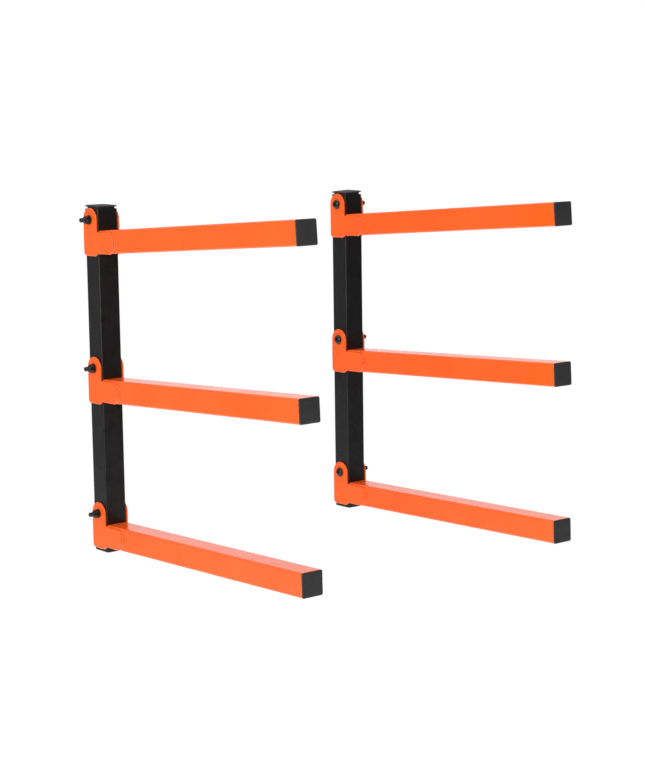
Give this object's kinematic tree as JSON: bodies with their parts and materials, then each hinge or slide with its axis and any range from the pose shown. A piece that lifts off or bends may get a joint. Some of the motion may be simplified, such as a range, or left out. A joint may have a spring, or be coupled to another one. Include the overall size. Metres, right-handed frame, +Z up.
{
  "type": "wall-mounted storage rack",
  "caption": "Wall-mounted storage rack: black square-tube uprights with orange square-tube arms that swing up on pivot bolts, for laying stored goods across.",
  "frame": {"origin": "on the wall, midway between the uprights and level with the middle arms: the centre of the wall screw pattern", "axes": "+X to the right along the wall, +Y into the wall, +Z up; the arms reach out along -Y"},
  "size_m": [0.47, 0.4365, 0.4492],
  "materials": {
    "orange_powder_coat": "glossy powder coat",
    "black_powder_coat": "satin powder coat",
    "black_plastic": "moulded satin plastic",
    "black_steel": "black oxide",
    "zinc_steel": "bright zinc plating"
  },
  "bodies": {
    "uprights": {"left_upright": "black_powder_coat", "left_top_plug": "black_plastic", "left_bottom_plug": "black_plastic", "right_upright": "black_powder_coat", "right_top_plug": "black_plastic", "right_bottom_plug": "black_plastic", "left_top_pivot_bolt": "black_steel", "left_top_lock_nut": "black_steel", "left_top_washer": "black_steel", "left_top_pivot_sleeve": "zinc_steel", "left_middle_pivot_bolt": "black_steel", "left_middle_lock_nut": "black_steel", "left_middle_washer": "black_steel", "left_middle_pivot_sleeve": "zinc_steel", "left_bottom_pivot_bolt": "black_steel", "left_bottom_lock_nut": "black_steel", "left_bottom_washer": "black_steel", "left_bottom_pivot_sleeve": "zinc_steel", "right_top_pivot_bolt": "black_steel", "right_top_lock_nut": "black_steel", "right_top_washer": "black_steel", "right_top_pivot_sleeve": "zinc_steel", "right_middle_pivot_bolt": "black_steel", "right_middle_lock_nut": "black_steel", "right_middle_washer": "black_steel", "right_middle_pivot_sleeve": "zinc_steel", "right_bottom_pivot_bolt": "black_steel", "right_bottom_lock_nut": "black_steel", "right_bottom_washer": "black_steel", "right_bottom_pivot_sleeve": "zinc_steel"},
    "left_top_arm": {"left_top_arm_tube": "orange_powder_coat", "left_top_cheek_plates": "orange_powder_coat", "left_top_weld_beads": "orange_powder_coat", "left_top_end_plug": "black_plastic"},
    "left_middle_arm": {"left_middle_arm_tube": "orange_powder_coat", "left_middle_cheek_plates": "orange_powder_coat", "left_middle_weld_beads": "orange_powder_coat", "left_middle_end_plug": "black_plastic"},
    "left_bottom_arm": {"left_bottom_arm_tube": "orange_powder_coat", "left_bottom_cheek_plates": "orange_powder_coat", "left_bottom_weld_beads": "orange_powder_coat", "left_bottom_end_plug": "black_plastic"},
    "right_top_arm": {"right_top_arm_tube": "orange_powder_coat", "right_top_cheek_plates": "orange_powder_coat", "right_top_weld_beads": "orange_powder_coat", "right_top_end_plug": "black_plastic"},
    "right_middle_arm": {"right_middle_arm_tube": "orange_powder_coat", "right_middle_cheek_plates": "orange_powder_coat", "right_middle_weld_beads": "orange_powder_coat", "right_middle_end_plug": "black_plastic"},
    "right_bottom_arm": {"right_bottom_arm_tube": "orange_powder_coat", "right_bottom_cheek_plates": "orange_powder_coat", "right_bottom_weld_beads": "orange_powder_coat", "right_bottom_end_plug": "black_plastic"}
  },
  "joints": [
    {"name": "left_top_arm_fold", "type": "hinge", "parent": "uprights", "child": "left_top_arm", "pos_m": [-0.2032, -0.015, 0.2185], "axis": [-1, 0, 0], "range_deg": [0, 82]},
    {"name": "left_middle_arm_fold", "type": "hinge", "parent": "uprights", "child": "left_middle_arm", "pos_m": [-0.2032, -0.015, 0.0285], "axis": [-1, 0, 0], "range_deg": [0, 23]},
    {"name": "left_bottom_arm_fold", "type": "hinge", "parent": "uprights", "child": "left_bottom_arm", "pos_m": [-0.2032, -0.015, -0.1615], "axis": [-1, 0, 0], "range_deg": [0, 23]},
    {"name": "right_top_arm_fold", "type": "hinge", "parent": "uprights", "child": "right_top_arm", "pos_m": [0.2032, -0.015, 0.2185], "axis": [-1, 0, 0], "range_deg": [0, 82]},
    {"name": "right_middle_arm_fold", "type": "hinge", "parent": "uprights", "child": "right_middle_arm", "pos_m": [0.2032, -0.015, 0.0285], "axis": [-1, 0, 0], "range_deg": [0, 23]},
    {"name": "right_bottom_arm_fold", "type": "hinge", "parent": "uprights", "child": "right_bottom_arm", "pos_m": [0.2032, -0.015, -0.1615], "axis": [-1, 0, 0], "range_deg": [0, 23]}
  ]
}
